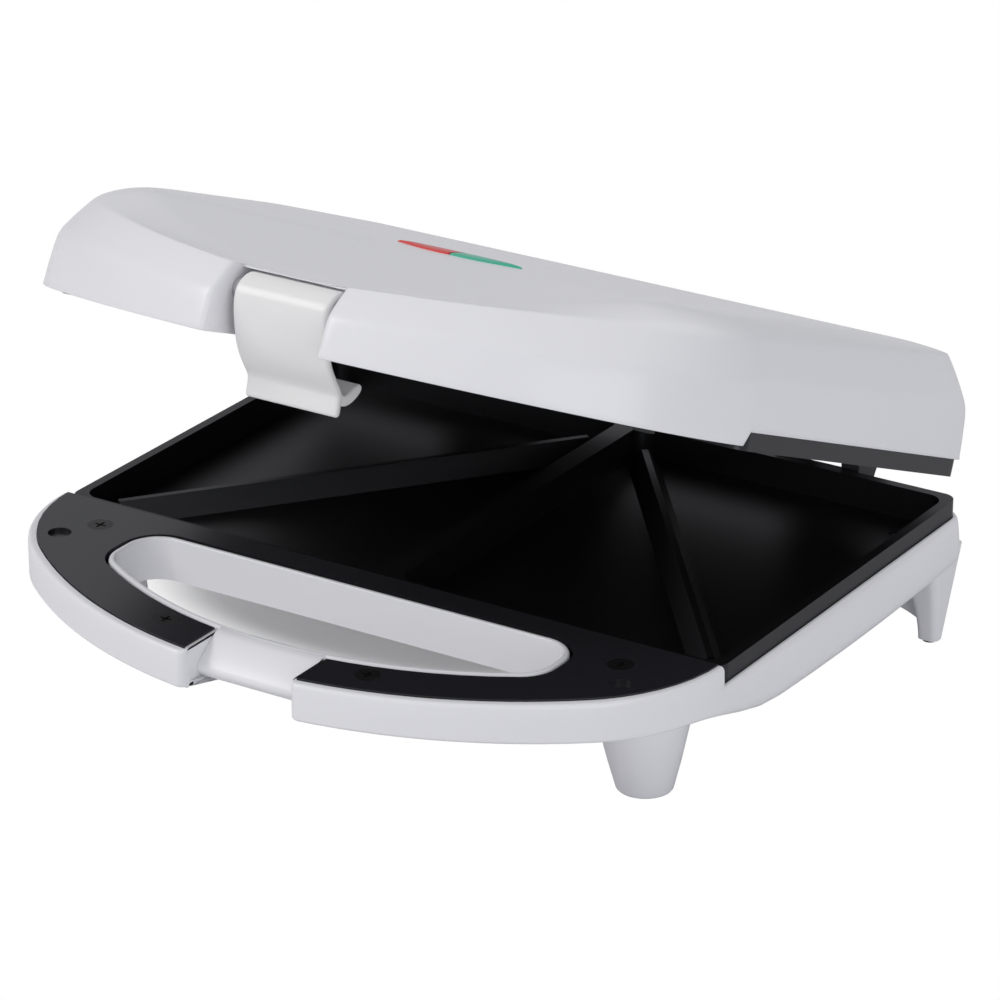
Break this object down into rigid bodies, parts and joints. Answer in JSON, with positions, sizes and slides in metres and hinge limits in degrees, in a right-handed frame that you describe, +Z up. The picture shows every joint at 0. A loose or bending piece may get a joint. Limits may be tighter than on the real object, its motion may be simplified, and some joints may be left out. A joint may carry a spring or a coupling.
{
  "type": "sandwich toaster",
  "caption": "Tabletop sandwich toaster: white housing with a loop handle, hinged lid with scooped top, swinging latch and two non-stick plates.",
  "frame": {"origin": "on the table under the centre of the two cooking plates", "axes": "+X to the right seen from the handle, +Y to the rear towards the hinge, +Z up"},
  "size_m": [0.2344, 0.236, 0.151],
  "materials": {
    "white_housing": "glossy white moulding",
    "rubber": "matte",
    "black_gloss": "gloss black",
    "black_screw": "black oxide",
    "nonstick": "non-stick coating, satin",
    "steel": "plated",
    "aluminium": "plain sheet",
    "ceramic": "matte",
    "wire": "insulated wire",
    "black_satin": "satin black",
    "red_lens": "clear red",
    "green_lens": "clear green",
    "lamp_glass": "clear glass",
    "latch_white": "satin white"
  },
  "bodies": {
    "base": {"base_housing": "white_housing", "front_foot_left": "white_housing", "front_foot_right": "white_housing", "foot_pads": "rubber", "handle_bezel": "black_gloss", "bezel_screws": "black_screw", "lower_plate": "nonstick", "lower_heater": "steel", "lower_clamps": "steel", "lower_reflector": "aluminium", "lower_screws": "steel", "bottom_cover": "white_housing", "cover_screws": "steel", "thermal_fuse": "ceramic", "terminal_block": "ceramic", "base_wiring": "wire", "cord_inlet": "rubber", "hinge_brackets": "black_satin", "bracket_screws": "steel"},
    "hinge_pins": {"hinge_pins": "steel"},
    "lid": {"lid_housing": "white_housing", "lid_liner": "black_satin", "liner_screws": "steel", "lid_bumpers": "rubber", "upper_plate": "nonstick", "upper_heater": "steel", "upper_clamps": "steel", "upper_reflector": "aluminium", "upper_screws": "steel", "red_lens": "red_lens", "green_lens": "green_lens", "lamp_holder": "black_satin", "neon_lamps": "lamp_glass", "thermostat": "ceramic", "lid_wiring": "wire", "hinge_arms": "black_satin", "latch_bracket": "steel"},
    "latch_pin": {"latch_pin": "steel"},
    "latch": {"latch": "latch_white"}
  },
  "joints": [
    {"name": "lid_close", "type": "hinge", "parent": "base", "child": "hinge_pins", "pos_m": [0, 0.0866, 0.05265], "axis": [-1, 0, 0], "range_deg": [-22.8, 0]},
    {"name": "lid_open", "type": "hinge", "parent": "hinge_pins", "child": "lid", "pos_m": [0, 0.0866, 0.05265], "axis": [-1, 0, 0], "range_deg": [0, 72]},
    {"name": "latch_carry", "type": "hinge", "parent": "lid", "child": "latch_pin", "pos_m": [0, -0.11231, 0.14098], "axis": [-1, 0, 0], "range_deg": [0, 71.1]},
    {"name": "latch_pivot", "type": "hinge", "parent": "latch_pin", "child": "latch", "pos_m": [0, -0.11231, 0.14098], "axis": [-1, 0, 0], "range_deg": [-31, 0]}
  ],
  "couplings": [
    {"joint": "latch_carry", "follows": "lid_close", "ratio": -3.114}
  ]
}
